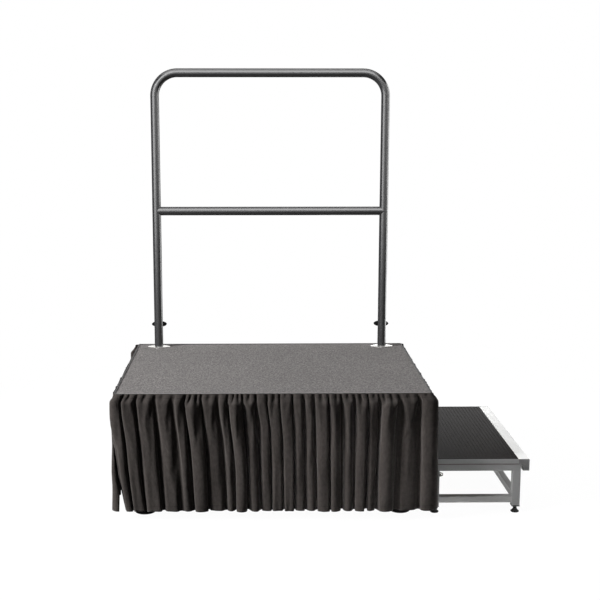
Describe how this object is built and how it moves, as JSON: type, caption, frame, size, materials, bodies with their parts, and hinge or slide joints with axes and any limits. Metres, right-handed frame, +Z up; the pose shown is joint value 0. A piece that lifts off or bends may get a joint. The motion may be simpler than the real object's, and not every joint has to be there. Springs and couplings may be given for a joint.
{
  "type": "stage riser platform",
  "caption": "Carpeted stage riser with a gathered skirt, a lift-off rear guard rail held by wing screws, levelling feet and a linked low side step with a ribbed mat.",
  "frame": {"origin": "centre of the footprint, on the floor", "axes": "+Z up, +X towards the step, -Y towards the front of the deck, so the guard rail stands at +Y"},
  "size_m": [1.3524, 0.795, 1.4469],
  "materials": {
    "carpet": "grey loop pile carpet",
    "plywood": "birch plywood, dark phenolic film",
    "bright_trim": "dull grey flat bar",
    "dark_trim": "black flat bar",
    "deck_frame": "satin dark grey paint",
    "deck_leg": "zinc-plated tube",
    "zinc_steel": "bright zinc",
    "skirt_cloth": "charcoal woven drape",
    "hook_tape": "black hook-and-loop tape",
    "chrome_flange": "polished",
    "rail_tube": "dark grey gloss coat",
    "black_plastic": "moulded black",
    "black_rubber": "moulded black rubber",
    "ribbed_rubber": "fine ribs front to rear",
    "step_frame": "satin mill finish",
    "step_nosing": "light satin"
  },
  "bodies": {
    "platform": {"deck_carpet": "carpet", "deck_panel": "plywood", "edge_trim_front": "bright_trim", "edge_trim_rear": "dark_trim", "edge_trim_left": "dark_trim", "edge_trim_right": "dark_trim", "frame_rail_front": "deck_frame", "frame_rail_rear": "deck_frame", "frame_rail_left": "deck_frame", "frame_rail_right": "deck_frame", "cross_members": "deck_frame", "corner_brackets": "deck_frame", "deck_screws": "zinc_steel", "leg_front_left": "deck_leg", "leg_front_right": "deck_leg", "leg_rear_left": "deck_leg", "leg_rear_right": "deck_leg", "leg_clamp_bolts": "zinc_steel", "leg_inserts": "black_plastic", "skirt_front": "skirt_cloth", "skirt_left": "skirt_cloth", "skirt_right": "skirt_cloth", "skirt_rear": "skirt_cloth", "skirt_tape": "hook_tape", "rail_socket_left": "chrome_flange", "rail_socket_right": "chrome_flange", "link_arms": "deck_leg"},
    "guard_rail": {"rail_hoop": "rail_tube", "mid_rail": "rail_tube", "clamp_bosses": "rail_tube"},
    "wing_screw_left": {"wing_knob_left": "black_plastic", "clamp_screw_left": "zinc_steel"},
    "wing_screw_right": {"wing_knob_right": "black_plastic", "clamp_screw_right": "zinc_steel"},
    "step": {"link_nuts": "chrome_flange", "step_mat": "ribbed_rubber", "step_board": "plywood", "step_edge_strips": "step_frame", "step_nosing": "step_nosing", "nosing_end_caps": "step_frame", "step_rails": "step_frame", "step_legs": "step_frame", "step_stretchers": "step_frame", "step_leg_caps": "black_plastic", "step_lock_nuts": "zinc_steel", "step_frame_screws": "zinc_steel"},
    "foot_front_left": {"foot_pad_front_left": "black_rubber", "foot_stem_front_left": "zinc_steel"},
    "foot_front_right": {"foot_pad_front_right": "black_rubber", "foot_stem_front_right": "zinc_steel"},
    "foot_rear_left": {"foot_pad_rear_left": "black_rubber", "foot_stem_rear_left": "zinc_steel"},
    "foot_rear_right": {"foot_pad_rear_right": "black_rubber", "foot_stem_rear_right": "zinc_steel"},
    "step_foot_front_inner": {"step_foot_front_inner": "black_rubber"},
    "step_foot_front_outer": {"step_foot_front_outer": "black_rubber"},
    "step_foot_rear_inner": {"step_foot_rear_inner": "black_rubber"},
    "step_foot_rear_outer": {"step_foot_rear_outer": "black_rubber"}
  },
  "joints": [
    {"name": "guard_rail_lift", "type": "slide", "parent": "platform", "child": "guard_rail", "axis": [0, 0, 1], "range_m": [0, 0.13]},
    {"name": "wing_screw_left_turn", "type": "hinge", "parent": "guard_rail", "child": "wing_screw_left", "pos_m": [-0.57625, 0.327, 0.5], "axis": [0, 1, 0], "range_deg": [0, 540]},
    {"name": "wing_screw_right_turn", "type": "hinge", "parent": "guard_rail", "child": "wing_screw_right", "pos_m": [0.26375, 0.327, 0.5], "axis": [0, 1, 0], "range_deg": [0, 540]},
    {"name": "step_pull_out", "type": "slide", "parent": "platform", "child": "step", "axis": [1, 0, 0], "range_m": [0, 0.3]},
    {"name": "foot_front_left_level", "type": "slide", "parent": "platform", "child": "foot_front_left", "axis": [0, 0, -1], "range_m": [0, 0.02]},
    {"name": "foot_front_right_level", "type": "slide", "parent": "platform", "child": "foot_front_right", "axis": [0, 0, -1], "range_m": [0, 0.02]},
    {"name": "foot_rear_left_level", "type": "slide", "parent": "platform", "child": "foot_rear_left", "axis": [0, 0, -1], "range_m": [0, 0.02]},
    {"name": "foot_rear_right_level", "type": "slide", "parent": "platform", "child": "foot_rear_right", "axis": [0, 0, -1], "range_m": [0, 0.02]},
    {"name": "step_foot_front_inner_level", "type": "slide", "parent": "step", "child": "step_foot_front_inner", "axis": [0, 0, -1], "range_m": [0, 0.015]},
    {"name": "step_foot_front_outer_level", "type": "slide", "parent": "step", "child": "step_foot_front_outer", "axis": [0, 0, -1], "range_m": [0, 0.015]},
    {"name": "step_foot_rear_inner_level", "type": "slide", "parent": "step", "child": "step_foot_rear_inner", "axis": [0, 0, -1], "range_m": [0, 0.015]},
    {"name": "step_foot_rear_outer_level", "type": "slide", "parent": "step", "child": "step_foot_rear_outer", "axis": [0, 0, -1], "range_m": [0, 0.015]}
  ]
}
